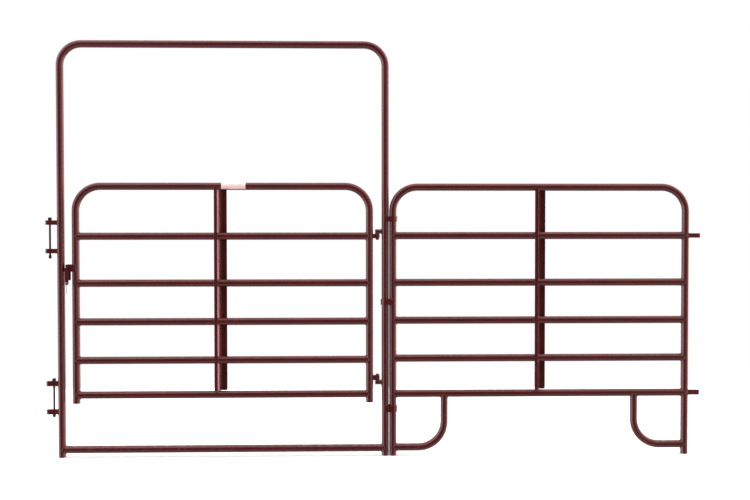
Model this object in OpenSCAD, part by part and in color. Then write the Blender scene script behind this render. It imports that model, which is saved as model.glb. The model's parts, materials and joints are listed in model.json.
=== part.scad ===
// Walk-through gate: a tall bow frame with a swinging gate hung inside it, and a fixed
// six-bar panel fastened to its hinge post. All of it is welded from one size of round
// tube, with strap loops for the pins. Millimetres. X runs along the gate, the front
// faces -Y, Z is up, and the origin is the centre of the hinge post's foot.

/* [Tube] */
// Outside diameter of every tube
tube_od = 41.3; // [33.7:0.1:48.3]
// Wall thickness of every tube
tube_wall = 1.6; // [1.2:0.1:3.2]
// Gap at every welded joint, which the weld fills
weld_gap = 0.2; // [0.1:0.05:0.4]

/* [Bow frame] */
// Distance between the centre lines of the two frame stiles
frame_w = 1826; // [1400:1:2600]
// Height over the top of the bow
frame_h = 2348; // [1900:1:3000]
// Centre-line radius of the bow's two bends
frame_bend_r = 121; // [100:1:300]
// Height of the threshold tube's centre line
threshold_z = 43; // [35:1:120]

/* [Rails] */
// Height of the centre line of the bottom rail, of gate and panel alike
bottom_rail_z = 352; // [290:1:500]
// Gate: centre distance from each rail up to the next one, from the bottom to the top
gate_bays = [196, 218, 218, 265, 281]; // [150:1:400]
// Panel: centre distance from each rail up to the next one, from the bottom to the top
panel_bays = [202, 216, 215, 266, 275]; // [150:1:400]

/* [Gate] */
// Clear gap between the gate and the hinge post
hinge_gap = 48; // [44:0.5:70]
// Clear gap between the gate and the latch post
latch_gap = 41.5; // [39:0.5:60]
// Length of gate stile below the centre line of the bottom rail
gate_tail = 47; // [30:1:100]
// Centre-line radius of the gate's two bends
gate_bend_r = 139; // [100:1:220]
// Offset of the gate's upright brace from the gate's middle; below zero is towards the latch
gate_brace_shift = -15; // [-200:1:200]

/* [Panel] */
// Distance between the centre lines of the two panel stiles
panel_w = 1674; // [1200:1:3000]
// Centre-line radius of the panel's two bends
panel_bend_r = 138; // [100:1:250]
// Clear gap between the hinge post and the panel's near stile
stile_gap = 2; // [1:0.5:10]
// Offset of the panel's upright brace from the panel's middle
panel_brace_shift = 3; // [-200:1:200]

/* [J-legs] */
// Distance from the panel stile's centre line to the leg's upright centre line
leg_setback = 293; // [220:1:500]
// Centre-line radius of the leg's bend
leg_bend_r = 148; // [100:1:200]
// Height of the near leg's foot tube, centre line
near_leg_foot_z = 46; // [30:1:90]
// Height of the far leg's foot tube, centre line
far_leg_foot_z = 55; // [30:1:90]

/* [Upright braces] */
// Thickness of the folded Z-section
brace_t = 3; // [2:0.5:5]
// Width of the front flange, to the middle of its fold
brace_front_w = 17; // [12:1:40]
// Width of the rear flange, to the middle of its fold
brace_rear_w = 30; // [12:1:40]
// How far the slanting web runs along X between the two folds
brace_web_w = 20; // [4:1:30]
// Clearance between a rail and the flange that laps it
brace_seat = 0.5; // [0.4:0.1:0.9]

/* [Connector lugs] */
// Width of the flat strap that every loop is bent from
strap_h = 25.4; // [18:0.2:30]
// Thickness of the lug and tie strap
strap_t = 5; // [3:0.5:8]
// Clear width inside a lug
lug_slot_w = 17.5; // [15:0.5:24]
// Reach of a lug from the stile's centre line to its nose
lug_reach = 86; // [70:1:140]
// Height of the middle of the upper pair of lugs
upper_pair_z = 1246; // [900:1:1400]
// Height of the middle of the lower pair of lugs
lower_pair_z = 338; // [200:1:500]
// Centre distance of the two lugs of a pair
lug_pitch = 160; // [100:1:220]

/* [Connector pins] */
// Diameter of the pin
pin_d = 11; // [9:0.5:12]
// Lap of the pin's head over the lug, on each side of the slot
pin_head_lap = 2; // [1:0.25:6]
// Width of the pin's head along the slot
pin_head_w = 15; // [14:0.5:24]
// Height of the pin's head
pin_head_h = 16; // [8:1:30]
// Clearance between the bulb at the pin's lower end and each side of the slot
pin_bulb_clear = 0.5; // [0.5:0.05:1.5]
// Length of the bulb, with the neck that tapers up to the pin
pin_bulb_l = 21; // [16:1:30]
// Length of the upper pin below its lower lug
upper_pin_tail = 30; // [16:1:60]
// Length of the lower pin below its lower lug
lower_pin_tail = 18; // [16:1:60]
// Clearance between the pin's head and the lug that it rests on
pin_seat = 0.3; // [0.1:0.1:0.5]
// Distance of the upper pin's axis from the lug's nose
upper_pin_back = 26; // [15:0.5:30]
// Distance of the lower pin's axis from the stile's surface
lower_pin_out = 23; // [15:0.5:30]

/* [Hinges] */
// Diameter of the upright pin that the eye turns on
hinge_pin_d = 19; // [14:0.5:20]
// Diameter of the bar that carries the pin out from the post
hinge_bar_d = 25; // [22:0.5:28]
// Running clearance between the pin and the eye
hinge_clear = 0.3; // [0.1:0.1:1]
// Length of pin that stands out of the eye
hinge_pin_tip = 9; // [5:1:25]
// Clearance between the eye and the bar
hinge_end_play = 0.8; // [0.5:0.1:0.9]
// Thickness of the eye strap
eye_t = 3.2; // [2:0.2:6]
// Height of the lower hinge eye's middle
lower_eye_z = 444; // [400:1:520]

/* [Latch] */
// Height of the latch pivot
latch_z = 1066; // [1010:1:1120]
// Height of the latch bracket
latch_bracket_h = 40; // [35:1:60]
// Distance of the pivot below the middle of the bracket
latch_pivot_low = 4; // [0:0.5:8]
// Length that the bracket runs past the gate stile's centre line
latch_bracket_lap = 2; // [-10:0.5:15]
// Thickness of the latch bracket's strap
latch_bracket_t = 3.2; // [2:0.2:5]
// Clearance between the bracket's nose and the latch post
latch_post_clear = 9; // [5:0.5:12]
// Outside radius of the bracket's folds
latch_fold_r = 5; // [4:0.5:8]
// Diameter of the latch pivot
latch_pivot_d = 9; // [6:0.5:10]
// Distance of the pivot's axis behind the bracket's nose
latch_pivot_back = 9.6; // [9.5:0.1:14]
// Running clearance of the pivot in the bracket
latch_pivot_clear = 0.3; // [0.1:0.1:0.5]
// Length of the front latch arm, from the pivot to the grip
latch_arm_l = 82; // [60:1:120]
// Width of the front latch arm
latch_arm_w = 19; // [14:1:19]
// Length of the rear latch arm, from the pivot to the middle of its round end
latch_rear_l = 60; // [55:1:120]
// Width of the rear latch arm
latch_rear_w = 14; // [14:1:19]
// Thickness of the latch arms
latch_arm_t = 5; // [3:0.5:8]
// Gap between the bracket and each latch arm
latch_arm_gap = 1.8; // [1:0.1:4]

/* [Stile ties] */
// Heights of the middles of the three ties, from the top down
tie_zs = [1346, 875, 268]; // [100:1:1400]
// Widths of the three ties' straps, from the top down
tie_hs = [30, 32, 36]; // [20:1:60]
// Length that a tie runs on past the centre line of the stile it is welded to
tie_overrun = 6; // [0:1:15]

/* [Label] */
// Length of the blank label
label_l = 137; // [60:1:200]
// Distance of the label's near end from the middle of the gate's brace
label_out = 7; // [4:1:60]
// Thickness of the blank label
label_t = 0.4; // [0.2:0.1:1]
// Angle that the label wraps below the rail's front
label_low_deg = 48; // [10:1:80]
// Angle that the label wraps above the rail's front
label_high_deg = 90; // [10:1:100]

/* [Hidden] */
$fn = 64;

tube_r = tube_od / 2;
bore_r = tube_r - tube_wall;
cope_r = tube_r + weld_gap;
cut = 1;

latch_post_x = -frame_w;
hinge_post_x = 0;
frame_top_z = frame_h - tube_r;

gate_hinge_x = hinge_post_x - tube_od - hinge_gap;
gate_latch_x = latch_post_x + tube_od + latch_gap;
gate_foot_z = bottom_rail_z - gate_tail;
hinge_x = (hinge_post_x + gate_hinge_x) / 2;

panel_near_x = hinge_post_x + tube_od + stile_gap;
panel_far_x = panel_near_x + panel_w;

gate_brace_x = (gate_hinge_x + gate_latch_x) / 2 + gate_brace_shift;
panel_brace_x = (panel_near_x + panel_far_x) / 2 + panel_brace_shift;
brace_half_w = (brace_front_w + brace_web_w + brace_rear_w) / 2;

// Height of rail n, counted from the bottom rail, which is rail 0
function rail_z(bays, n) = n == 0 ? bottom_rail_z : rail_z(bays, n - 1) + bays[n - 1];
gate_top_z = rail_z(gate_bays, len(gate_bays));
panel_top_z = rail_z(panel_bays, len(panel_bays));

// How far the inner side of the panel's near stile has bent away at height z
panel_bend_z = panel_top_z - panel_bend_r;
panel_bend_inner_r = panel_bend_r - tube_r;
function near_stile_lean(z) = z < panel_bend_z ? 0 :
  panel_bend_inner_r - sqrt(pow(panel_bend_inner_r, 2) - pow(z - panel_bend_z, 2));

// The upper eye is level with the gate's rail below its top tube
upper_eye_z = rail_z(gate_bays, 4);
eye_r = hinge_pin_d / 2 + hinge_clear;

latch_nose_x = gate_latch_x - tube_r - latch_gap + latch_post_clear;
latch_x = latch_nose_x + latch_pivot_back;
latch_leg_y = cope_r;
latch_arm_y = latch_leg_y + latch_bracket_t + latch_arm_gap;

// The round heads of the latch pivot
latch_head_t = 5;
latch_head_d = 18;

// The grip, and the flange at its front end
grip_d = 10;
grip_l = 13;
grip_flange_d = 13;
grip_flange_t = 3;
grip_z = latch_z - latch_arm_l;

// The wire clip, and its clearance round the grip
clip_wire_d = 3.2;
clip_tail_l = 52;
clip_clear = 0.4;

// The chamfers of every pin's ends, and the taper between a drop pin's bulb and its pin
pin_chamfer = 3;
bulb_chamfer = 4.5;
pin_neck_l = 6;

// Clearance under the label
label_gap = 0.05;

PAINT = "#5c2a2a";
BARE = "#2b2524";
ZINC = "#8d9088";
PALE = "#ead7d3";

// ---- Shapes that repeat ----

// The flat ring that is a tube's section
module tube_section() {
  difference() {
    circle(r = tube_r);
    circle(r = bore_r);
  }
}

// A straight tube that stands on the origin
module tube(length) {
  linear_extrude(height = length) tube_section();
}

// A straight tube along +X
module tube_x(length) {
  rotate([0, 90, 0]) tube(length);
}

// A quarter bend in the XZ plane, from +X up to +Z about the origin
module tube_bend(bend_r) {
  rotate([90, 0, 0]) rotate_extrude(angle = 90) translate([bend_r, 0]) tube_section();
}

// One tube bent into an upside-down U between two stile centre lines
module bow(x0, x1, foot_z, top_z, bend_r) {
  stile_l = top_z - bend_r - foot_z;
  translate([x0, 0, foot_z]) tube(stile_l);
  translate([x1, 0, foot_z]) tube(stile_l);
  translate([x0 + bend_r, 0, top_z]) tube_x(x1 - x0 - 2 * bend_r);
  translate([x0 + bend_r, 0, top_z - bend_r]) mirror([1, 0, 0]) tube_bend(bend_r);
  translate([x1 - bend_r, 0, top_z - bend_r]) tube_bend(bend_r);
}

// What an upright tube and its weld gap take out of a piece that is coped to it
module stile_space(x, z, half_h) {
  translate([x, 0, z - half_h]) cylinder(r = cope_r, h = 2 * half_h);
}

// What a rail and its weld gap take out of a piece that is coped to it
module rail_space(x, z, half_l) {
  translate([x - half_l, 0, z]) rotate([0, 90, 0]) cylinder(r = cope_r, h = 2 * half_l);
}

// A rail between two stiles, with a saddle cut at each end
module rail(x0, x1, z) {
  difference() {
    translate([x0, 0, z]) tube_x(x1 - x0);
    stile_space(x0, z, tube_od);
    stile_space(x1, z, tube_od);
  }
}

// A flat strap bent round an upright pin or tube at the origin, its legs towards +X
module strap_loop(inner_r, thick, high, leg_l) {
  rotate([0, 0, 90]) rotate_extrude(angle = 180)
    translate([inner_r, -high / 2]) square([thick, high]);
  for (y = [inner_r, -inner_r - thick])
    translate([0, y, -high / 2]) cube([leg_l, thick, high]);
}

// A connector lug on a stile; side is -1 for one that points to -X and 1 for +X
module lug(stile_x, side, z) {
  nose_out = lug_reach - strap_t - lug_slot_w / 2;
  difference() {
    translate([stile_x + side * nose_out, 0, z])
      rotate([0, 0, side > 0 ? 180 : 0])
        strap_loop(lug_slot_w / 2, strap_t, strap_h, nose_out);
    stile_space(stile_x, z, strap_h);
  }
}

// A brace's section: a Z of one thickness, with a slanting web and mitred folds
module brace_section() {
  mid_y = tube_r + brace_seat + brace_t / 2;
  web_l = sqrt(pow(brace_web_w, 2) + pow(2 * mid_y, 2));
  side = [0, brace_t / 2];
  // From a fold's middle to its corner, along the mitre
  mitre = [-2 * mid_y, brace_web_w + web_l] * brace_t / 2 / (web_l + brace_web_w);
  line = [
    [-brace_half_w, -mid_y], [brace_front_w - brace_half_w, -mid_y],
    [brace_half_w - brace_rear_w, mid_y], [brace_half_w, mid_y]
  ];
  polygon([
    line[0] + side, line[1] + mitre, line[2] + mitre, line[3] + side,
    line[3] - side, line[2] - mitre, line[1] - mitre, line[0] - side
  ]);
}

// A folded Z-section brace: its web is holed for the rails, and its flanges lap them
module brace(x, bays) {
  foot_z = bottom_rail_z + cope_r;
  top_z = rail_z(bays, len(bays));
  difference() {
    translate([x, 0, foot_z]) linear_extrude(height = top_z - foot_z) brace_section();
    for (n = [1 : len(bays)]) rail_space(x, rail_z(bays, n), brace_half_w + cut);
  }
}

// A hinge bar welded to the post, with its pin turned down (-1) or up (1) into an eye
module hinge_rod(eye_z, turn) {
  pin_r = hinge_pin_d / 2;
  bar_r = hinge_bar_d / 2;
  bar_up = strap_h / 2 + hinge_end_play + bar_r;
  tip_z = -strap_h / 2 - hinge_pin_tip;
  difference() {
    translate([hinge_x, 0, eye_z]) mirror([0, 0, turn > 0 ? 1 : 0]) {
      translate([-bar_r, 0, bar_up]) rotate([0, 90, 0])
        cylinder(r = bar_r, h = hinge_post_x - hinge_x + bar_r);
      rotate_extrude() polygon([
        [0, tip_z], [pin_r - pin_chamfer, tip_z], [pin_r, tip_z + pin_chamfer],
        [pin_r, bar_up], [0, bar_up]
      ]);
    }
    stile_space(hinge_post_x, eye_z, strap_h + hinge_bar_d);
  }
}

// The strap eye on the gate that a hinge rod's pin stands in
module hinge_eye(z) {
  difference() {
    translate([hinge_x, 0, z]) rotate([0, 0, 180])
      strap_loop(eye_r, eye_t, strap_h, hinge_x - gate_hinge_x);
    stile_space(gate_hinge_x, z, strap_h);
  }
}

// A strap bent round one stile (nose_x) and welded along the other (end_x)
module tie(nose_x, end_x, n) {
  leg_l = abs(end_x - nose_x) + tie_overrun;
  translate([nose_x, 0, tie_zs[n]]) rotate([0, 0, nose_x > end_x ? 180 : 0])
    strap_loop(cope_r, strap_t, tie_hs[n], leg_l);
}

// A tie round the panel's near stile: its nose stands off where the stile starts to bend
module near_stile_tie(n) {
  tie(panel_near_x + near_stile_lean(tie_zs[n] + tie_hs[n] / 2), hinge_post_x, n);
}

// A drop pin, out from the latch post. Its head is a short block that lies across the
// slot of a pair's upper lug, and its bulb hangs below the lower lug
module drop_pin(pair_z, out, tail) {
  head_z = pair_z + lug_pitch / 2 + strap_h / 2 + pin_seat;
  end_z = pair_z - lug_pitch / 2 - strap_h / 2 - tail;
  head_top_z = head_z + pin_head_h;
  neck_z = end_z + pin_bulb_l;
  bulb_r = lug_slot_w / 2 - pin_bulb_clear;
  head_side = pin_head_w / 2;
  head_half_l = lug_slot_w / 2 + pin_head_lap;
  translate([latch_post_x - out, 0, 0]) {
    rotate_extrude() polygon([
      [0, end_z], [bulb_r - bulb_chamfer, end_z], [bulb_r, end_z + bulb_chamfer],
      [bulb_r, neck_z - pin_neck_l], [pin_d / 2, neck_z], [pin_d / 2, head_z], [0, head_z]
    ]);
    translate([0, head_half_l, 0]) rotate([90, 0, 0])
      linear_extrude(height = 2 * head_half_l) polygon([
        [-head_side, head_z], [head_side, head_z], [head_side, head_top_z - pin_chamfer],
        [head_side - pin_chamfer, head_top_z], [pin_chamfer - head_side, head_top_z],
        [-head_side, head_top_z - pin_chamfer]
      ]);
  }
}

// A J-leg: from under the bottom rail down, round a bend and along to the stile
module leg(stile_x, side, foot_z) {
  up_x = stile_x + side * leg_setback;
  difference() {
    translate([up_x, 0, 0]) mirror([side < 0 ? 1 : 0, 0, 0]) {
      translate([0, 0, foot_z + leg_bend_r]) tube(bottom_rail_z - foot_z - leg_bend_r);
      translate([-leg_bend_r, 0, foot_z + leg_bend_r]) mirror([0, 0, 1]) tube_bend(leg_bend_r);
      translate([-leg_setback, 0, foot_z]) tube_x(leg_setback - leg_bend_r);
    }
    stile_space(stile_x, foot_z, tube_od);
    rail_space(up_x, bottom_rail_z, tube_od);
  }
}

// ---- Frame ----

module frame_bow() {
  color(PAINT) bow(latch_post_x, hinge_post_x, 0, frame_top_z, frame_bend_r);
}

module frame_threshold() {
  color(PAINT) rail(latch_post_x, hinge_post_x, threshold_z);
}

module upper_lug_a() {
  color(PAINT) lug(latch_post_x, -1, upper_pair_z + lug_pitch / 2);
}

module upper_lug_b() {
  color(PAINT) lug(latch_post_x, -1, upper_pair_z - lug_pitch / 2);
}

module lower_lug_a() {
  color(PAINT) lug(latch_post_x, -1, lower_pair_z + lug_pitch / 2);
}

module lower_lug_b() {
  color(PAINT) lug(latch_post_x, -1, lower_pair_z - lug_pitch / 2);
}

module upper_pin() {
  color(BARE) drop_pin(upper_pair_z, lug_reach - upper_pin_back, upper_pin_tail);
}

module lower_pin() {
  color(BARE) drop_pin(lower_pair_z, tube_r + lower_pin_out, lower_pin_tail);
}

module hinge_rod_upper() {
  color(PAINT) hinge_rod(upper_eye_z, -1);
}

module hinge_rod_lower() {
  color(PAINT) hinge_rod(lower_eye_z, 1);
}

module tie_upper() {
  color(PAINT) near_stile_tie(0);
}

module tie_middle() {
  color(PAINT) tie(hinge_post_x, panel_near_x, 1);
}

module tie_lower() {
  color(PAINT) near_stile_tie(2);
}

// ---- Gate ----

module gate_bow() {
  color(PAINT) bow(gate_latch_x, gate_hinge_x, gate_foot_z, gate_top_z, gate_bend_r);
}

// Gate rail n, where 1 is just under the top tube and 5 is the bottom rail
module gate_rail(n) {
  color(PAINT) rail(gate_latch_x, gate_hinge_x, rail_z(gate_bays, len(gate_bays) - n));
}

module gate_brace() {
  color(PAINT) brace(gate_brace_x, gate_bays);
}

module hinge_eye_upper() {
  color(PAINT) hinge_eye(upper_eye_z);
}

module hinge_eye_lower() {
  color(PAINT) hinge_eye(lower_eye_z);
}

// The sticker on the top tube, beside the brace, left blank
module blank_label() {
  color(PALE) translate([gate_brace_x + label_out, 0, gate_top_z]) rotate([0, 90, 0])
    rotate([0, 0, 270 - label_high_deg]) rotate_extrude(angle = label_high_deg + label_low_deg)
      translate([tube_r + label_gap, 0]) square([label_t, label_l]);
}

// ---- Latch ----

// The squared strap that boxes out from the gate's latch stile and carries the pivot
module latch_bracket() {
  out_y = latch_leg_y + latch_bracket_t;
  leg_x = latch_nose_x + latch_fold_r;
  color(PAINT) difference() {
    translate([0, 0, latch_z + latch_pivot_low - latch_bracket_h / 2]) {
      for (side = [-1, 1]) {
        translate([leg_x, side > 0 ? latch_leg_y : -out_y, 0])
          cube([gate_latch_x + latch_bracket_lap - leg_x, latch_bracket_t, latch_bracket_h]);
        translate([leg_x, side * (out_y - latch_fold_r), 0])
          rotate([0, 0, side > 0 ? 90 : 180]) rotate_extrude(angle = 90)
            translate([latch_fold_r - latch_bracket_t, 0])
              square([latch_bracket_t, latch_bracket_h]);
      }
      translate([latch_nose_x, latch_fold_r - out_y, 0])
        cube([latch_bracket_t, 2 * (out_y - latch_fold_r), latch_bracket_h]);
    }
    translate([latch_x, out_y + cut, latch_z]) rotate([90, 0, 0])
      cylinder(d = latch_pivot_d + 2 * latch_pivot_clear, h = 2 * (out_y + cut));
  }
}

// The pin through bracket and arms, with a flat round head at each end
module latch_pivot() {
  end_y = latch_arm_y + latch_arm_t + weld_gap;
  color(PAINT) translate([latch_x, 0, latch_z]) rotate([90, 0, 0]) {
    cylinder(d = latch_pivot_d, h = 2 * end_y, center = true);
    for (side = [-1, 1]) translate([0, 0, side * (end_y + latch_head_t / 2)])
      cylinder(d = latch_head_d, h = latch_head_t, center = true);
  }
}

// One flat arm of the fork, hung from the pivot; front_y is its low-Y face
module latch_arm(front_y, wide, long) {
  color(PAINT) translate([latch_x, front_y + latch_arm_t, latch_z]) rotate([90, 0, 0]) difference() {
    union() {
      cylinder(d = wide, h = latch_arm_t);
      translate([-wide / 2, -long, 0]) cube([wide, long, latch_arm_t]);
      translate([0, -long, 0]) cylinder(d = wide, h = latch_arm_t);
    }
    translate([0, 0, -cut]) cylinder(d = latch_pivot_d + 2 * weld_gap, h = latch_arm_t + 2 * cut);
  }
}

module latch_arm_front() {
  latch_arm(-latch_arm_y - latch_arm_t, latch_arm_w, latch_arm_l);
}

module latch_arm_rear() {
  latch_arm(latch_arm_y, latch_rear_w, latch_rear_l);
}

// The short grip that stands forward from the front arm's lower end
module latch_grip() {
  grip_y = -latch_arm_y - latch_arm_t - weld_gap;
  color(ZINC) translate([latch_x, grip_y, grip_z]) rotate([90, 0, 0]) {
    cylinder(d = grip_d, h = grip_l);
    translate([0, 0, grip_l]) cylinder(d = grip_flange_d, h = grip_flange_t);
  }
}

// The wire clip that is kept on the grip: a ring with a straight tail
module latch_clip() {
  ring_r = grip_d / 2 + clip_clear + clip_wire_d / 2;
  clip_y = -latch_arm_y - latch_arm_t - weld_gap - grip_l / 2;
  color(ZINC) translate([latch_x, clip_y, grip_z]) {
    rotate([90, 0, 0]) rotate_extrude() translate([ring_r, 0]) circle(d = clip_wire_d);
    translate([0, 0, -ring_r - clip_tail_l]) cylinder(d = clip_wire_d, h = clip_tail_l);
  }
}

// ---- Panel ----

module panel_bow() {
  color(PAINT) bow(panel_near_x, panel_far_x, 0, panel_top_z, panel_bend_r);
}

// Panel rail n, where 1 is just under the top tube and 5 is the bottom rail
module panel_rail(n) {
  color(PAINT) rail(panel_near_x, panel_far_x, rail_z(panel_bays, len(panel_bays) - n));
}

module panel_brace() {
  color(PAINT) brace(panel_brace_x, panel_bays);
}

module near_leg() {
  color(PAINT) leg(panel_near_x, 1, near_leg_foot_z);
}

module far_leg() {
  color(PAINT) leg(panel_far_x, -1, far_leg_foot_z);
}

module outer_lug_upper() {
  color(PAINT) lug(panel_far_x, 1, rail_z(panel_bays, 4));
}

module outer_lug_lower() {
  color(PAINT) lug(panel_far_x, 1, bottom_rail_z);
}

frame_bow();
frame_threshold();
upper_lug_a();
upper_lug_b();
lower_lug_a();
lower_lug_b();
upper_pin();
lower_pin();
hinge_rod_upper();
hinge_rod_lower();
tie_upper();
tie_middle();
tie_lower();
gate_bow();
gate_rail(1);  // gate_rail_1
gate_rail(2);  // gate_rail_2
gate_rail(3);  // gate_rail_3
gate_rail(4);  // gate_rail_4
gate_rail(5);  // gate_rail_5
gate_brace();
hinge_eye_upper();
hinge_eye_lower();
blank_label();
latch_bracket();
latch_pivot();
latch_arm_front();
latch_arm_rear();
latch_grip();
latch_clip();
panel_bow();
panel_rail(1);  // panel_rail_1
panel_rail(2);  // panel_rail_2
panel_rail(3);  // panel_rail_3
panel_rail(4);  // panel_rail_4
panel_rail(5);  // panel_rail_5
panel_brace();
near_leg();
far_leg();
outer_lug_upper();
outer_lug_lower();
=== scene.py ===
# %% [markdown]
# # A walk-through stock gate
# The real thing is welded from one size of round steel tube: a tall bow frame with a threshold,
# a gate that swings inside it, and a fixed panel on J-shaped legs. Tubes and straps are sprayed
# with maroon powder and baked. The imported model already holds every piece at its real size, so
# this lesson adds what the eye reads next: the light, the finishes and the weld beads.

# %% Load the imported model
import json
from math import cos, pi, sin, sqrt

import bpy
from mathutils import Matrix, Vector


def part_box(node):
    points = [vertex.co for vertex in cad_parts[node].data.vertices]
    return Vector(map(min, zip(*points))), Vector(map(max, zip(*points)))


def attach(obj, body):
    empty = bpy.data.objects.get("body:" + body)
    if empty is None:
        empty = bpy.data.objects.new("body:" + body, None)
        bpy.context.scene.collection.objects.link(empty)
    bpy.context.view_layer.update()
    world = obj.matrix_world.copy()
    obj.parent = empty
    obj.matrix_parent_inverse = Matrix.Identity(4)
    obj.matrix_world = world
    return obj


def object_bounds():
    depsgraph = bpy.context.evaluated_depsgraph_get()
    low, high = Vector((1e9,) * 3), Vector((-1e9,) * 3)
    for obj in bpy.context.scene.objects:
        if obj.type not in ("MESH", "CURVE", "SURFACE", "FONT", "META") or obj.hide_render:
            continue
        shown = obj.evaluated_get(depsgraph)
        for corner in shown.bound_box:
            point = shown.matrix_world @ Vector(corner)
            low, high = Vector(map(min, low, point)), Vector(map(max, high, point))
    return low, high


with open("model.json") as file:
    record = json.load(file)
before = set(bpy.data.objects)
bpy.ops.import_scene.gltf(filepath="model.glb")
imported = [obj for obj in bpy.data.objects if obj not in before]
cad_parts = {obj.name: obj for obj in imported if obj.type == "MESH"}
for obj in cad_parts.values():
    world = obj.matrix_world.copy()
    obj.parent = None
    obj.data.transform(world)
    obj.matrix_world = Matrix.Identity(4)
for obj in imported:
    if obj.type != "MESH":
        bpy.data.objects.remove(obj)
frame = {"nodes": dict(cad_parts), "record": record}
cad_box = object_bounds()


def short(corner):
    """A corner's coordinates, rounded to a tenth of a millimetre for printing."""
    return [round(value, 4) for value in corner]


print("box in metres:", [short(corner) for corner in cad_box])

# %% [markdown]
# ## The camera
# A camera could be aimed with a Track To constraint, but a fixed place and turn are easier to
# read and never move by themselves. It stands a little left of the hinge post, at chest height,
# about five and a half metres in front, and looks almost straight at the gate. A 48 mm lens
# keeps the tubes straight and the perspective mild.

# %% Camera
CAMERA_PLACE = (-0.20725, -5.66995, 1.30356)
CAMERA_TURN = (1.54722, 0.00057, -0.02637)
LENS_MM = 48
SENSOR_MM = 36

lens = bpy.data.cameras.new("camera")
lens.lens = LENS_MM
lens.sensor_width = SENSOR_MM
camera = bpy.data.objects.new("camera", lens)
camera.location = CAMERA_PLACE
camera.rotation_euler = CAMERA_TURN
bpy.context.collection.objects.link(camera)
bpy.context.scene.camera = camera
bpy.context.scene.view_settings.view_transform = "Standard"
print("camera at", CAMERA_PLACE)

# %% [markdown]
# ## Two small helpers
# Colours are picked as sRGB hex values, the way a paint chart gives them, but a shader works in
# linear light, so one function turns the first into the second. The other adds one node to any
# node tree: it sets the node's settings, then fills each input with a value or a link.

# %% Helpers for colours and nodes
def linear(hex_colour):
    """An sRGB hex colour as linear red, green, blue and an alpha of one."""
    channels = [int(hex_colour[i:i + 2], 16) / 255 for i in (1, 3, 5)]
    return [c / 12.92 if c <= 0.04045 else ((c + 0.055) / 1.055) ** 2.4 for c in channels] + [1]


def add(tree, kind, inputs=None, **settings):
    """A new node. Inputs go by number, name or identifier to a value, a socket or a node."""
    node = tree.nodes.new(kind)
    for name, value in settings.items():
        setattr(node, name, value)
    for key, value in (inputs or {}).items():
        if isinstance(key, int):
            target = node.inputs[key]
        else:
            target = next(s for s in node.inputs if s.enabled and key in (s.identifier, s.name))
        if isinstance(value, bpy.types.Node):
            value = next(s for s in value.outputs if s.enabled)
        if isinstance(value, bpy.types.NodeSocket):
            tree.links.new(value, target)
        else:
            target.default_value = value
    return node


print("maroon in linear light:", [round(c, 3) for c in linear("#5c2028")[:3]])

# %% [markdown]
# ## The walls of a studio
# Round tube mirrors its room as long stripes, so the room decides how the gate looks. Area
# lights could make the stripes, but a world shader gives wide panels without any noise. This
# room has a pale wall on the left. The wall on the right is warm and reaches a little way behind
# the object, where it is brightest and lights the slanting webs of the braces. The front, where
# the camera stands, is dark, and so is the back, which gives each tube a dark core and dark
# rims. One colour ramp, read by the compass, holds all the walls.

# %% Walls
# Compass direction in degrees from the front, positive to the right, then brightness, then
# warmth, the share of green and blue that the wall's paint swallows
WALLS = [(-180, 0.12, 0.1), (-138, 0.12, 0.1), (-118, 3.0, 0.1), (-72, 3.4, 0.1), (-54, 2.4, 0.1),
         (-38, 0.04, 0), (16, 0.04, 0), (32, 1.1, 0.3), (62, 1.6, 0.3), (84, 2.0, 0.3),
         (95, 4.5, 0.35), (118, 5.0, 0.35), (126, 5.5, 0.35), (135, 5.5, 0.35),
         (145, 0.12, 0.1), (180, 0.12, 0.1)]


def painted(level, warmth):
    """The colour of a wall's light."""
    return (level, level * (1 - warmth), level * (1 - warmth), 1)


world = bpy.data.worlds.new("studio")
bpy.context.scene.world = world
world.use_nodes = True
tree = world.node_tree
tree.nodes.clear()
direction = add(tree, "ShaderNodeTexCoord").outputs["Generated"]
ray = add(tree, "ShaderNodeSeparateXYZ", {"Vector": direction})
front = add(tree, "ShaderNodeMath", {0: ray.outputs["Y"], 1: -1}, operation="MULTIPLY")
compass = add(tree, "ShaderNodeMath", {0: ray.outputs["X"], 1: front}, operation="ARCTAN2")
turn = add(tree, "ShaderNodeMapRange", {"Value": compass, "From Min": -pi, "From Max": pi})
walls = add(tree, "ShaderNodeValToRGB", {"Fac": turn})
stops = walls.color_ramp.elements
for number, (degrees, level, warmth) in enumerate(WALLS):
    place = degrees / 360 + 0.5
    # A new ramp comes with two stops, which are used first
    stop = stops[number] if number < 2 else stops.new(place)
    stop.position = place
    stop.color = painted(level, warmth)
print("walls:", len(WALLS), "levels")

# %% [markdown]
# ## Ceiling, pit and backdrop
# A rail lies flat, so it mirrors what is over and under it. A bright, warm ceiling draws the
# pale stripe along its top, and a softer pit of light below the horizon lifts its underside.
# Each fades in over a range of heights, because a hard line would show in the gloss. Rays that
# come straight from the camera see plain white in place of the room, for a clean backdrop.

# %% Ceiling, pit and backdrop
# Brightness and warmth
CEILING = (2.4, 0.25)
PIT = (1.0, 0.25)
# Sines of the elevations between which the ceiling and the pit fade in
CEILING_RISE = (0.60, 0.90)
PIT_FALL = (-0.25, -0.65)

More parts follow.
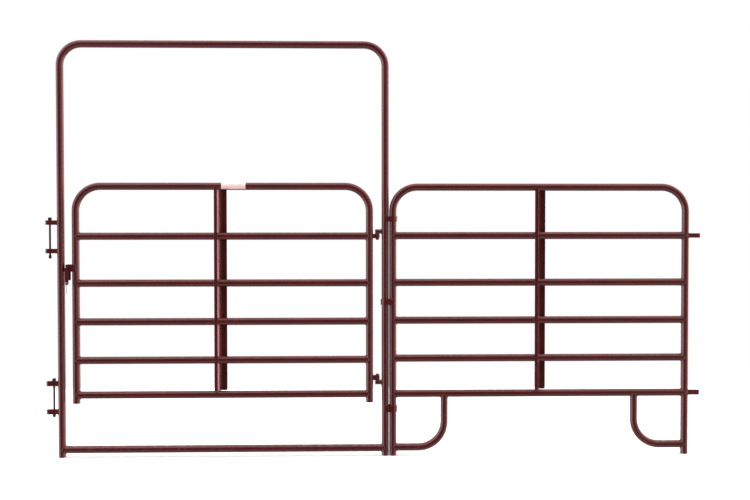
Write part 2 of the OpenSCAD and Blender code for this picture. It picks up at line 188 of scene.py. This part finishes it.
lit = walls.outputs["Color"]
for surface, (low, high) in ((CEILING, CEILING_RISE), (PIT, PIT_FALL)):
    share = add(tree, "ShaderNodeMapRange",
                {"Value": ray.outputs["Z"], "From Min": low, "From Max": high},
                interpolation_type="SMOOTHSTEP")
    lit = add(tree, "ShaderNodeMix", {"Factor": share, "A": lit, "B": painted(*surface)},
              data_type="RGBA")
eye = add(tree, "ShaderNodeLightPath").outputs["Is Camera Ray"]
seen = add(tree, "ShaderNodeMix", {"Factor": eye, "A": lit, "B": (1, 1, 1, 1)}, data_type="RGBA")
light = add(tree, "ShaderNodeBackground", {"Color": seen})
add(tree, "ShaderNodeOutputWorld", {"Surface": light})
print("ceiling", CEILING, "pit", PIT)

# %% [markdown]
# ## A sheet of pale paper
# In a studio the object stands on a wide sheet of paper. A plane that is wider than the gate
# does the same here: it joins the white backdrop and takes the soft shadows at the feet. Its
# tint is a little cyan, which balances the warm walls, and some emission stands for the light
# that real paper throws back. The sheet is hidden from reflections and from bounced light, so
# that the tubes mirror only the room.

# %% Floor
FLOOR_SIDES = 6.0
FLOOR_FRONT = -1.4
FLOOR_BACK = 2.4
FLOOR_GLOW = 0.25

corners = [(-FLOOR_SIDES, FLOOR_FRONT, 0), (FLOOR_SIDES, FLOOR_FRONT, 0),
           (FLOOR_SIDES, FLOOR_BACK, 0), (-FLOOR_SIDES, FLOOR_BACK, 0)]
sheet = bpy.data.meshes.new("floor")
sheet.from_pydata(corners, [], [(0, 1, 2, 3)])
floor = bpy.data.objects.new("floor", sheet)
bpy.context.collection.objects.link(floor)
paper = bpy.data.materials.new("white_paper")
paper.use_nodes = True
shader = paper.node_tree.nodes["Principled BSDF"]
shader.inputs["Base Color"].default_value = linear("#daf3f5")
shader.inputs["Roughness"].default_value = 0.9
shader.inputs["Emission Color"].default_value = (1, 1, 1, 1)
shader.inputs["Emission Strength"].default_value = FLOOR_GLOW
sheet.materials.append(paper)
floor.visible_glossy = False
floor.visible_diffuse = False
print("floor from", corners[0], "to", corners[2])

# %% [markdown]
# ## One soft box
# The walls light the object evenly, which is a bit flat. A wide soft box, high up in front on
# the left, gives the shadows a direction and puts a gentle glint on every tube. An area light is
# used because its size sets how soft the shadow edge is.

# %% Soft box
BOX_PLACE = (-3.2, -2.6, 4.4)
BOX_SIDE = 3.0
BOX_WATTS = 25

panel = bpy.data.lights.new("soft_box", "AREA")
panel.shape = "SQUARE"
panel.size = BOX_SIDE
panel.energy = BOX_WATTS
soft_box = bpy.data.objects.new("soft_box", panel)
soft_box.location = BOX_PLACE
aim = (cad_box[0] + cad_box[1]) / 2 - soft_box.location
soft_box.rotation_euler = aim.to_track_quat("-Z", "Y").to_euler()
bpy.context.collection.objects.link(soft_box)
print("soft box aims along", short(aim))

# %% [markdown]
# ## Masks and layers
# Every finish here is a plain colour under thin layers: dust, soil, rust, bloom. A layer needs a
# mask that says where it lies and a share that says how well it covers. Image textures could
# hold the masks, but a noise with a size in metres fits every piece and never shows a seam. Its
# low and high values cut it to separate spots when they are close, and to clouds when they are
# far apart. Sharp edges are found by a Bevel node: it rounds the normal near an edge, so there
# is an edge wherever the rounded normal and the true one differ.

# %% Masks and layers
BEVEL_SAMPLES = 6
# How far the two normals agree, as the cosine between them, where an edge starts and is full
EDGE_STARTS = 0.97
EDGE_FULL = 0.80


def new_material(name):
    """An empty material, its node tree, and its object coordinates in metres."""
    material = bpy.data.materials.new(name)
    material.use_nodes = True
    material.node_tree.nodes.clear()
    place = add(material.node_tree, "ShaderNodeTexCoord").outputs["Object"]
    return material, material.node_tree, place


def mask(tree, place, size_m, low, high, detail=2.0, roughness=0.5):
    """Spots about size_m wide: 0 where the noise is at low, 1 where it is at high."""
    clouds = add(tree, "ShaderNodeTexNoise", {"Vector": place, "Scale": 1 / size_m,
                                              "Detail": detail, "Roughness": roughness})
    return add(tree, "ShaderNodeMapRange", {"Value": clouds, "From Min": low, "From Max": high},
               interpolation_type="SMOOTHSTEP")


def layer(tree, below, colour, where, share=1.0):
    """A colour laid over what is below it, where the mask says, at no more than its share."""
    cover = add(tree, "ShaderNodeMath", {0: where, 1: share}, operation="MULTIPLY")
    return add(tree, "ShaderNodeMix", {"Factor": cover, "A": below, "B": colour},
               data_type="RGBA")


def find_edges(tree, radius_m):
    """The rounded normal, and a mask that is 1 on sharp edges."""
    rounded = add(tree, "ShaderNodeBevel", {"Radius": radius_m}, samples=BEVEL_SAMPLES)
    true_normal = add(tree, "ShaderNodeNewGeometry").outputs["Normal"]
    agree = add(tree, "ShaderNodeVectorMath", {0: rounded, 1: true_normal},
                operation="DOT_PRODUCT").outputs["Value"]
    edge = add(tree, "ShaderNodeMapRange",
               {"Value": agree, "From Min": EDGE_STARTS, "From Max": EDGE_FULL},
               interpolation_type="SMOOTHSTEP")
    return rounded, edge


def finish(tree, inputs):
    """The shader that ends a material."""
    shader = add(tree, "ShaderNodeBsdfPrincipled", inputs)
    add(tree, "ShaderNodeOutputMaterial", {"Surface": shader.outputs["BSDF"]})


print("an edge starts where the normals' cosine falls under", EDGE_STARTS)

# %% [markdown]
# ## Where a coat ages
# Paint outdoors changes in three places. Dust settles on what faces up, soil splashes up from
# the ground, and the coat is rubbed or chipped through on edges and in a few small spots. The
# three masks are built in one function, because the tubes and the welds age alike.

# %% Masks of an ageing coat
DUST = {"size_m": 0.03, "low": 0.2, "high": 0.8, "detail": 5}
SPLASHES = {"size_m": 0.02, "low": 0.45, "high": 0.70, "detail": 8, "roughness": 0.7}
RUBS = {"size_m": 0.012, "low": 0.30, "high": 0.55, "detail": 4}
CHIPS = {"size_m": 0.011, "low": 0.735, "high": 0.765, "detail": 3, "roughness": 0.6}
# The upward part of the normal from which dust can lie
DUST_SLOPE = 0.35
SPLASH_TOP_M = 0.15
EDGE_M = 0.0012


def ageing(tree, place, edge):
    """Masks of the dust, of the splashes and of the bare spots."""
    facing = add(tree, "ShaderNodeNewGeometry").outputs["Normal"]
    up = add(tree, "ShaderNodeSeparateXYZ", {"Vector": facing}).outputs["Z"]
    flat = add(tree, "ShaderNodeMapRange", {"Value": up, "From Min": DUST_SLOPE, "From Max": 1.0},
               interpolation_type="SMOOTHSTEP")
    dust = add(tree, "ShaderNodeMath", {0: flat, 1: mask(tree, place, **DUST)},
               operation="MULTIPLY")
    height = add(tree, "ShaderNodeSeparateXYZ", {"Vector": place}).outputs["Z"]
    near_soil = add(tree, "ShaderNodeMapRange",
                    {"Value": height, "From Min": SPLASH_TOP_M, "From Max": 0.0},
                    interpolation_type="SMOOTHSTEP")
    splash = add(tree, "ShaderNodeMath", {0: near_soil, 1: mask(tree, place, **SPLASHES)},
                 operation="MULTIPLY")
    rubbed = add(tree, "ShaderNodeMath", {0: edge, 1: mask(tree, place, **RUBS)},
                 operation="MULTIPLY")
    bare = add(tree, "ShaderNodeMath", {0: rubbed, 1: mask(tree, place, **CHIPS)},
               operation="MAXIMUM")
    return dust, splash, bare


print("splashes reach up to", SPLASH_TOP_M * 1000, "mm")

# %% [markdown]
# ## Maroon powder coat
# The tubes are sprayed with dry powder that melts in an oven to a tough, satin skin. It is a
# plastic film over steel, so the shader is not metallic and has the IOR of polyester, about 1.5.
# Its tell-tale is orange peel, a soft ripple a few millimetres wide, made with a Bump node. The
# colour drifts slowly between a deeper and a warmer maroon, where the coat is thick or thin.

# %% Powder coat
PATCHES = {"size_m": 0.25, "low": 0.35, "high": 0.65, "detail": 4}
DULL_PATCHES = {"size_m": 0.06, "low": 0.3, "high": 0.7, "detail": 4}
PEEL_M = 0.005
RUST_SPOT_M = 0.006
# Half the width of the change from primer to rust, as a share of the noise
RUST_SOFT = 0.1
DUST_SHARE = 0.16
SPLASH_SHARE = 0.18
BARE_SHARE = 0.40
# What is added to the roughness in dull patches and under dust
DULL_ROUGHER = 0.10
DUST_ROUGHER = 0.12


def powder_coat(name, deep, warm, rust_share, gloss):
    """A baked coat; rust_share is how much of the bare spots has gone brown."""
    material, tree, place = new_material(name)
    rounded, edge = find_edges(tree, EDGE_M)
    dust, splash, bare = ageing(tree, place, edge)

    colour = layer(tree, linear(deep), linear(warm), mask(tree, place, **PATCHES))
    colour = layer(tree, colour, linear("#a08c84"), dust, DUST_SHARE)
    colour = layer(tree, colour, linear("#8c7060"), splash, SPLASH_SHARE)
    rust = mask(tree, place, RUST_SPOT_M, rust_share + RUST_SOFT, rust_share - RUST_SOFT)
    below = layer(tree, linear("#94807a"), linear("#5e3320"), rust)
    colour = layer(tree, colour, below, bare, BARE_SHARE)

    dull = mask(tree, place, **DULL_PATCHES)
    rough = add(tree, "ShaderNodeMath", {0: dull, 1: DULL_ROUGHER, 2: gloss},
                operation="MULTIPLY_ADD")
    rough = add(tree, "ShaderNodeMath", {0: dust, 1: DUST_ROUGHER, 2: rough},
                operation="MULTIPLY_ADD")

    ripple = add(tree, "ShaderNodeTexNoise", {"Vector": place, "Scale": 1 / PEEL_M, "Detail": 1})
    peel = add(tree, "ShaderNodeBump", {"Height": ripple, "Strength": 0.18, "Distance": 0.00025,
                                        "Normal": rounded})
    chipped = add(tree, "ShaderNodeBump", {"Height": bare, "Strength": 0.5, "Distance": 0.00015,
                                           "Normal": peel}, invert=True)
    finish(tree, {"Base Color": colour, "Roughness": rough, "Normal": chipped, "IOR": 1.5})
    return material


maroon = powder_coat("maroon_powder_coat", "#4a1c1c", "#521f1f", rust_share=0.35, gloss=0.14)
print("maroon powder coat:", len(maroon.node_tree.nodes), "nodes, ripple", PEEL_M * 1000, "mm")

# %% [markdown]
# ## Blackened pin steel
# The drop pins are plain bar with a dark oxide skin from the forge. Sliding through the lugs
# rubs long bright lines into it, so one noise is stretched along the pin, and a second, finer
# one dots it with rust. Oxide over steel is still a metal to the eye, only dark and rough.

# %% Pin steel
STREAK_WIDE_M = 0.0015
STREAK_LONG_M = 0.12
# This noise reads coordinates that are counted in streaks, so its size is one
STREAKS = {"size_m": 1, "low": 0.50, "high": 0.75, "detail": 3}
RUST = {"size_m": 0.005, "low": 0.55, "high": 0.72, "detail": 5, "roughness": 0.65}
STREAK_SHARE = 0.55
BRIGHT_SHARE = 0.5
RUST_SHARE = 0.5


def pin_steel():
    """Dark oxide with rub lines along Z and spots of rust."""
    material, tree, place = new_material("blackened_pin_steel")
    per_streak = (1 / STREAK_WIDE_M, 1 / STREAK_WIDE_M, 1 / STREAK_LONG_M)
    stretched = add(tree, "ShaderNodeMapping", {"Vector": place, "Scale": per_streak})
    rounded, edge = find_edges(tree, EDGE_M)
    lines = add(tree, "ShaderNodeMath", {0: mask(tree, stretched, **STREAKS), 1: STREAK_SHARE},
                operation="MULTIPLY")
    bright = add(tree, "ShaderNodeMath", {0: lines, 1: edge}, operation="MAXIMUM")
    rust = mask(tree, place, **RUST)
    colour = layer(tree, linear("#2c2727"), linear("#8a817b"), bright, BRIGHT_SHARE)
    colour = layer(tree, colour, linear("#47291f"), rust, RUST_SHARE)
    metal = add(tree, "ShaderNodeMapRange", {"Value": rust, "To Min": 0.85, "To Max": 0.25},
                interpolation_type="SMOOTHSTEP")
    rough = add(tree, "ShaderNodeMapRange", {"Value": bright, "To Min": 0.55, "To Max": 0.36},
                interpolation_type="SMOOTHSTEP")
    relief = add(tree, "ShaderNodeBump", {"Height": rust, "Strength": 0.4, "Distance": 0.0002,
                                          "Normal": rounded})
    finish(tree, {"Base Color": colour, "Metallic": metal, "Roughness": rough, "Normal": relief})
    return material


dark_steel = pin_steel()
print("pin steel: rub lines", STREAK_WIDE_M * 1000, "mm wide")

# %% [markdown]
# ## Zinc plating
# The grip and its wire clip are electroplated with zinc, which starts bright and turns a dull
# blue-grey outdoors. A Voronoi texture gives the faint crystal patches, and a cloudy noise the
# white bloom that makes the metal rougher where it has weathered.

# %% Zinc
CRYSTAL_M = 0.004
BLOOM = {"size_m": 0.008, "low": 0.45, "high": 0.65, "detail": 5}
BLOOM_SHARE = 0.5


def zinc_plating():
    """Grey crystals under a rougher white bloom."""
    material, tree, place = new_material("weathered_zinc_plating")
    crystal = add(tree, "ShaderNodeTexVoronoi", {"Vector": place, "Scale": 1 / CRYSTAL_M})
    shade = add(tree, "ShaderNodeSeparateColor", {"Color": crystal.outputs["Color"]})
    bloom = mask(tree, place, **BLOOM)
    colour = layer(tree, linear("#8f928f"), linear("#a6a8a3"), shade.outputs["Red"])
    colour = layer(tree, colour, linear("#b9b8ae"), bloom, BLOOM_SHARE)
    rounded, _ = find_edges(tree, EDGE_M)
    metal = add(tree, "ShaderNodeMapRange", {"Value": bloom, "To Min": 1.0, "To Max": 0.6},
                interpolation_type="SMOOTHSTEP")
    rough = add(tree, "ShaderNodeMapRange", {"Value": bloom, "To Min": 0.38, "To Max": 0.62},
                interpolation_type="SMOOTHSTEP")
    relief = add(tree, "ShaderNodeBump", {"Height": bloom, "Strength": 0.3, "Distance": 0.0001,
                                          "Normal": rounded})
    finish(tree, {"Base Color": colour, "Metallic": metal, "Roughness": rough, "Normal": relief})
    return material


zinc = zinc_plating()
print("zinc: crystals", CRYSTAL_M * 1000, "mm")

# %% [markdown]
# ## The blank label
# A vinyl sticker wraps the top tube beside the brace. Here it stays blank. Vinyl is a soft
# plastic with a thin clear laminate, so it gets a light coat layer, a faint grain from the
# laminate, and dirt that gathers towards its edges, where a Bevel node with a wide radius sees
# the rim.

# %% Label
DIRT_RIM_M = 0.004
GRAIN_M = 0.002
SMUDGES = {"size_m": 0.018, "low": 0.42, "high": 0.75, "detail": 5, "roughness": 0.6}
SMUDGE_SHARE = 0.35
RIM_SHARE = 0.6


def blank_vinyl():
    """Pale laminate, smudged on its face and dirty on its rim."""
    material, tree, place = new_material("blank_vinyl_label")
    _, rim = find_edges(tree, DIRT_RIM_M)
    smudge = mask(tree, place, **SMUDGES)
    on_face = add(tree, "ShaderNodeMath", {0: smudge, 1: SMUDGE_SHARE}, operation="MULTIPLY")
    on_rim = add(tree, "ShaderNodeMath", {0: rim, 1: RIM_SHARE}, operation="MULTIPLY")
    dirt = add(tree, "ShaderNodeMath", {0: on_face, 1: on_rim}, operation="MAXIMUM")
    colour = layer(tree, linear("#f3e9e6"), linear("#c4aaa3"), dirt)
    rough = add(tree, "ShaderNodeMapRange", {"Value": smudge, "To Min": 0.34, "To Max": 0.55},
                interpolation_type="SMOOTHSTEP")
    fibres = add(tree, "ShaderNodeTexNoise", {"Vector": place, "Scale": 1 / GRAIN_M})
    grain = add(tree, "ShaderNodeBump", {"Height": fibres, "Strength": 0.2, "Distance": 0.0001})
    finish(tree, {"Base Color": colour, "Roughness": rough, "Normal": grain, "IOR": 1.5,
                  "Coat Weight": 0.3, "Coat Roughness": 0.25})
    return material


vinyl = blank_vinyl()
print("label vinyl:", len(vinyl.node_tree.nodes), "nodes")

# %% [markdown]
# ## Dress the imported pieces
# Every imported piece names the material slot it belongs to, so one loop hands the finishes out.
# The meshes themselves are not touched.

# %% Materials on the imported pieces
FINISHES = {"maroon_powder_coat": maroon, "dark_pin_steel": dark_steel,
            "zinc_plated_steel": zinc, "pale_label": vinyl}
slot_of = {row["node"]: row["material_slot"] for row in frame["record"]["subparts"]}
for name, piece in frame["nodes"].items():
    piece.data.materials.clear()
    piece.data.materials.append(FINISHES[slot_of[name]])
print({slot: list(slot_of.values()).count(slot) for slot in FINISHES})

# %% [markdown]
# ## Where the weld beads run
# The real gate is MIG welded all the way round each tube end. A bead could be painted on with a
# bump map, but it catches light as a small ridge, so it is modelled. First comes only its path:
# a list of points per seam, with a thickness for each point that fades at the open ends, where
# the welder starts and stops.

# %% A list of seams
TUBE_R = (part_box("frame_threshold")[1].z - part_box("frame_threshold")[0].z) / 2
X, Z = Vector((1, 0, 0)), Vector((0, 0, 1))
# Thickness at the very end of an open bead, and what each step inwards adds, up to full
END_THICK = 0.45
THICKER_PER_STEP = 0.2

seams = {"frame_and_panel": [], "gate": []}


def add_seam(body, points, thick=1.0, closed=False):
    """One bead path; an open one thins out at both ends."""
    last = len(points) - 1
    shares = [1.0 if closed else min(1.0, END_THICK + THICKER_PER_STEP * min(k, last - k))
              for k in range(last + 1)]
    seams[body].append((points, [thick * share for share in shares], closed))


def middle(name):
    """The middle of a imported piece's box."""
    low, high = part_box(name)
    return (low + high) / 2


stiles = {}
for bow, body in (("frame_bow", "frame_and_panel"), ("gate_bow", "gate"),
                  ("panel_bow", "frame_and_panel")):
    low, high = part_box(bow)
    stiles[bow] = (body, low.x + TUBE_R, high.x - TUBE_R)
print("tube radius:", round(TUBE_R * 1000, 2), "mm")

# %% [markdown]
# ## Saddle seams of the round tubes
# A round tube that meets another of the same width does so along a saddle, which is just a
# circle pushed out to the other tube's surface. At its two flanks that curve has a sharp corner,
# which a swept bead can't follow, so it is rounded by keeping it a little off the middle plane.

# %% Saddle seams
SADDLE_STEPS = 64
# How far a saddle stays off the other tube's middle plane at its flanks, in tube radii
FLANK_OUT = 0.14
HINGE_BAR_R = 0.0125
# Rails are numbered from the top
LOWEST_RAIL = 5


def saddle(body, centre, run, through, r=TUBE_R):
    """The seam of a round piece of radius r that leaves a tube at centre along run."""
    third = run.cross(through)
    points = []
    for k in range(SADDLE_STEPS):
        t = 2 * pi * k / SADDLE_STEPS
        out = sqrt(TUBE_R ** 2 - (r * sin(t)) ** 2 + (FLANK_OUT * TUBE_R) ** 2)
        points.append(centre + third * r * sin(t) + through * r * cos(t) + run * out)
    add_seam(body, points, closed=True)


rails = [("frame_threshold", "frame_bow")]
for unit in ("gate", "panel"):
    rails += [(f"{unit}_rail_{n}", f"{unit}_bow") for n in range(1, LOWEST_RAIL + 1)]
for rail, bow in rails:
    body, left, right = stiles[bow]
    z = middle(rail).z
    saddle(body, Vector((left, 0, z)), X, Z)
    saddle(body, Vector((right, 0, z)), -X, Z)

body, left, right = stiles["panel_bow"]
bottom_z = middle(f"panel_rail_{LOWEST_RAIL}").z
for leg, stile_x, side in (("near_leg", left, 1), ("far_leg", right, -1)):
    low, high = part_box(leg)
    saddle(body, Vector((stile_x, 0, low.z + TUBE_R)), X * side, Z)
    upright_x = high.x - TUBE_R if side > 0 else low.x + TUBE_R
    saddle(body, Vector((upright_x, 0, bottom_z)), -Z, X)

hinge_post_x = stiles["frame_bow"][2]
upper_bar_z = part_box("hinge_rod_upper")[1].z - HINGE_BAR_R
lower_bar_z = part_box("hinge_rod_lower")[0].z + HINGE_BAR_R
for bar_z in (upper_bar_z, lower_bar_z):
    saddle("frame_and_panel", Vector((hinge_post_x, 0, bar_z)), -X, Z, HINGE_BAR_R)
print("saddle seams:", {body: len(paths) for body, paths in seams.items()})

# %% [markdown]
# ## Seams of the straps
# A flat strap is welded along its two edges and its outer face, which makes a C when seen from
# the side. Where a strap loop butts on a tube, the C is pushed onto the round surface from the
# end. Where a strap lies along a tube, the C is pushed onto its flank.

# %% Strap seams
EDGE_STEPS = 6
STRAP_THICK = 0.8
# The legs of a lug and of a hinge eye stand this far from the middle plane, inside
LUG_INNER_Y = 0.00875
EYE_INNER_Y = 0.0098
# Beads on a flank sit this far off the tube
SEAT_M = 0.0008


def polyline(corners):
    """Points along a broken line, EDGE_STEPS to a stretch."""
    points = [corners[0]]
    for start, end in zip(corners, corners[1:]):
        points += [start.lerp(end, k / EDGE_STEPS) for k in range(1, EDGE_STEPS + 1)]
    return points


def strap_on_tube(body, name, stile_x, side, inner_y):
    """Both legs of a strap loop whose ends butt on a stile."""
    low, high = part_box(name)
    for outer in (low.y, high.y):
        inner = inner_y if outer > 0 else -inner_y
        points = polyline([Vector((0, inner, high.z)), Vector((0, outer, high.z)),
                           Vector((0, outer, low.z)), Vector((0, inner, low.z))])
        for point in points:
            point.x = stile_x + side * sqrt(TUBE_R ** 2 - point.y ** 2)
        add_seam(body, points, STRAP_THICK)


def strap_along_tube(body, name, stile_x, end_x):
    """Both legs of a strap that lies along a stile's flanks and stops at end_x."""
    low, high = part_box(name)
    start_x = 2 * stile_x - end_x
    for face in (-1, 1):
        points = polyline([Vector((start_x, 0, high.z)), Vector((end_x, 0, high.z)),
                           Vector((end_x, 0, low.z)), Vector((start_x, 0, low.z))])
        for point in points:
            point.y = face * (sqrt(TUBE_R ** 2 - (point.x - stile_x) ** 2) + SEAT_M)
        add_seam(body, points, STRAP_THICK)


for lug in ("upper_lug_a", "upper_lug_b", "lower_lug_a", "lower_lug_b"):
    strap_on_tube("frame_and_panel", lug, stiles["frame_bow"][1], -1, LUG_INNER_Y)
for lug in ("outer_lug_upper", "outer_lug_lower"):
    strap_on_tube("frame_and_panel", lug, stiles["panel_bow"][2], 1, LUG_INNER_Y)
for eye in ("hinge_eye_upper", "hinge_eye_lower"):
    strap_on_tube("gate", eye, stiles["gate_bow"][2], 1, EYE_INNER_Y)

for tie in ("tie_upper", "tie_lower"):
    strap_along_tube("frame_and_panel", tie, hinge_post_x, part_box(tie)[0].x)
strap_along_tube("frame_and_panel", "tie_middle", stiles["panel_bow"][1],
                 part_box("tie_middle")[1].x)
strap_along_tube("gate", "latch_bracket", stiles["gate_bow"][1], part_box("latch_bracket")[1].x)
print("with the straps:", {body: len(paths) for body, paths in seams.items()})

# %% [markdown]
# ## Seams of the folded braces
# An upright brace is sheet folded to a Z: a narrow front flange, a slanting web, and a wide rear
# flange. It is only tacked. Each free flange edge has a short upright bead at every rail, and
# where a rail passes through the web a ring runs round it, tilted like the web. At the top the
# brace ends on the middle of the tube, so the ring is half a turn there.

# %% Brace seams
FRONT_FLANGE_M = 0.017
REAR_FLANGE_M = 0.030
WEB_ACROSS_M = 0.020
# From the tube's surface to the middle of a flange's sheet
FLANGE_OUT_M = 0.002
TACK_HALF_M = 0.011
FOOT_HALF_M = 0.008
RING_THICK = 0.9

# The web's middle from the brace's middle, and its run along X for one of Y
WEB_OUT = (FRONT_FLANGE_M - REAR_FLANGE_M) / 2
WEB_LEAN = WEB_ACROSS_M / (2 * (TUBE_R + FLANGE_OUT_M))


def on_web(brace_x, y, z):
    """A point on the web's middle plane."""
    return Vector((brace_x + WEB_OUT + WEB_LEAN * y, y, z))


def brace_seams(body, brace, rail_levels):
    """All beads of one brace."""
    low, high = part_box(brace)
    brace_x = (low.x + high.x) / 2
    for z in rail_levels + [high.z]:
        at_top = z == high.z
        tack_top = z if at_top else z + TACK_HALF_M
        for edge_x, face in ((low.x, -1), (high.x, 1)):
            y = face * (TUBE_R + SEAT_M)
            tack = [Vector((edge_x, y, z - TACK_HALF_M)), Vector((edge_x, y, tack_top))]
            add_seam(body, polyline(tack), STRAP_THICK)
        ring = []
        for k in range(SADDLE_STEPS // 2 + 1 if at_top else SADDLE_STEPS):
            t = pi + 2 * pi * k / SADDLE_STEPS
            ring.append(on_web(brace_x, TUBE_R * cos(t), z + TUBE_R * sin(t)))
        add_seam(body, ring, RING_THICK, closed=not at_top)
    add_seam(body, polyline([on_web(brace_x, y, low.z) for y in (-FOOT_HALF_M, FOOT_HALF_M)]))


for unit in ("gate", "panel"):
    levels = [middle(f"{unit}_rail_{n}").z for n in range(1, LOWEST_RAIL)]
    brace_seams(stiles[f"{unit}_bow"][0], f"{unit}_brace", levels)
print("all seams:", {body: len(paths) for body, paths in seams.items()})

# %% [markdown]
# ## A bead from any path
# Geometry Nodes sweeps a small circle along every path. A weld is laid as a row of overlapping
# drops, so the circle's size follows a sine wave along the length, one wave per drop, and a slow
# noise makes some stretches fatter. The same tree serves both bodies, only with another seed.

# %% The weld bead node tree
BEAD_INPUTS = [("Bead radius", "NodeSocketFloat"), ("Ripple pitch", "NodeSocketFloat"),
               ("Ripple depth", "NodeSocketFloat"), ("Step", "NodeSocketFloat"),
               ("Seed", "NodeSocketFloat"), ("Material", "NodeSocketMaterial")]
PROFILE_SIDES = 8
# Fatter and thinner stretches: their length, how much they swell, and the noise that does it
SWELL_M = 0.012
SWELL = 0.15
SWELL_NOISE = (0.3, 0.7)


def weld_bead_tree():
    """A tree that turns loose edges with a thickness into weld beads."""
    tree = bpy.data.node_groups.new("Weld bead", "GeometryNodeTree")
    tree.interface.new_socket("Geometry", in_out="INPUT", socket_type="NodeSocketGeometry")
    for name, kind in BEAD_INPUTS:
        tree.interface.new_socket(name, in_out="INPUT", socket_type=kind)
    tree.interface.new_socket("Geometry", in_out="OUTPUT", socket_type="NodeSocketGeometry")
    given = add(tree, "NodeGroupInput").outputs

    path = add(tree, "GeometryNodeMeshToCurve", {"Mesh": given["Geometry"]})
    path = add(tree, "GeometryNodeResampleCurve", {"Curve": path, "Length": given["Step"]},
               mode="LENGTH")
    along = add(tree, "GeometryNodeSplineParameter").outputs["Length"]
    drops = add(tree, "ShaderNodeMath", {0: along, 1: given["Ripple pitch"]}, operation="DIVIDE")
    phase = add(tree, "ShaderNodeMath", {0: drops, 1: 2 * pi}, operation="MULTIPLY")
    wave = add(tree, "ShaderNodeMath", {0: phase}, operation="SINE")
    ripple = add(tree, "ShaderNodeMath", {0: wave, 1: given["Ripple depth"], 2: 1.0},
                 operation="MULTIPLY_ADD")
    slow = add(tree, "ShaderNodeTexNoise", {"W": given["Seed"], "Scale": 1 / SWELL_M, "Detail": 1.0},
               noise_dimensions="4D").outputs[0]
    swell = add(tree, "ShaderNodeMapRange",
                {"Value": slow, "From Min": SWELL_NOISE[0], "From Max": SWELL_NOISE[1],
                 "To Min": 1 - SWELL, "To Max": 1 + SWELL})
    thick = add(tree, "GeometryNodeInputNamedAttribute", {"Name": "thickness"}, data_type="FLOAT")
    size = add(tree, "ShaderNodeMath", {0: ripple, 1: swell}, operation="MULTIPLY")
    size = add(tree, "ShaderNodeMath", {0: size, 1: thick.outputs["Attribute"]},
               operation="MULTIPLY")
    profile = add(tree, "GeometryNodeCurvePrimitiveCircle",
                  {"Resolution": PROFILE_SIDES, "Radius": given["Bead radius"]})
    bead = add(tree, "GeometryNodeCurveToMesh", {"Curve": path, "Profile Curve": profile,
                                                 "Scale": size, "Fill Caps": True})
    bead = add(tree, "GeometryNodeSetShadeSmooth", {"Geometry": bead})
    bead = add(tree, "GeometryNodeRealizeInstances", {"Geometry": bead})
    bead = add(tree, "GeometryNodeSetMaterial", {"Geometry": bead, "Material": given["Material"]})
    add(tree, "NodeGroupOutput", {"Geometry": bead})
    return tree


bead_tree = weld_bead_tree()
print("weld bead tree:", len(bead_tree.nodes), "nodes")

# %% [markdown]
# ## Painted welds
# The beads were coated together with the tubes, so they share the finish. The film runs thin on
# the crests and thick between the drops, and soot from the arc shows through, which makes a weld
# a little darker, browner and rougher than the tube beside it. The paths become an edge mesh with
# a thickness on each point, the tree sweeps it, and the result is kept as one plain mesh a body.

# %% The beads
BEAD = {"Bead radius": 0.0035, "Ripple pitch": 0.0034, "Ripple depth": 0.10, "Step": 0.0010}
SEEDS = {"frame_and_panel": 3.0, "gate": 8.0}
painted_weld = powder_coat("powder_coated_weld", "#3f1617", "#4d1d1a", rust_share=0.60, gloss=0.24)


def path_object(name, body):
    """All seams of one body as an object of loose edges."""
    points, edges, thickness = [], [], []
    for path, thick, closed in seams[body]:
        first = len(points)
        points += path
        thickness += thick
        edges += [(k, k + 1) for k in range(first, len(points) - 1)]
        if closed:
            edges.append((len(points) - 1, first))
    mesh = bpy.data.meshes.new(name)
    mesh.from_pydata(points, edges, [])
    mesh.attributes.new("thickness", "FLOAT", "POINT").data.foreach_set("value", thickness)
    source = bpy.data.objects.new(name, mesh)
    bpy.context.collection.objects.link(source)
    return source


def lay_beads(body, name):
    """All beads of one body as one plain mesh that rides with it."""
    source = path_object(name + "_paths", body)
    sweep = source.modifiers.new("weld_bead", "NODES")
    sweep.node_group = bead_tree
    chosen = {**BEAD, "Seed": SEEDS[body], "Material": painted_weld}
    for socket in bead_tree.interface.items_tree:
        if socket.name in chosen:
            sweep[socket.identifier] = chosen[socket.name]
    swept = source.evaluated_get(bpy.context.evaluated_depsgraph_get())
    mesh = bpy.data.meshes.new_from_object(swept)
    source.modifiers.remove(sweep)
    bpy.data.objects.remove(source)
    mesh.name = name
    beads = bpy.data.objects.new(name, mesh)
    bpy.context.collection.objects.link(beads)
    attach(beads, body)
    return beads


for body, name in (("frame_and_panel", "weld_beads_frame"), ("gate", "weld_beads_gate")):
    beads = lay_beads(body, name)
    beads.data.calc_loop_triangles()
    print(name, len(beads.data.loop_triangles), "triangles in", len(seams[body]), "beads")
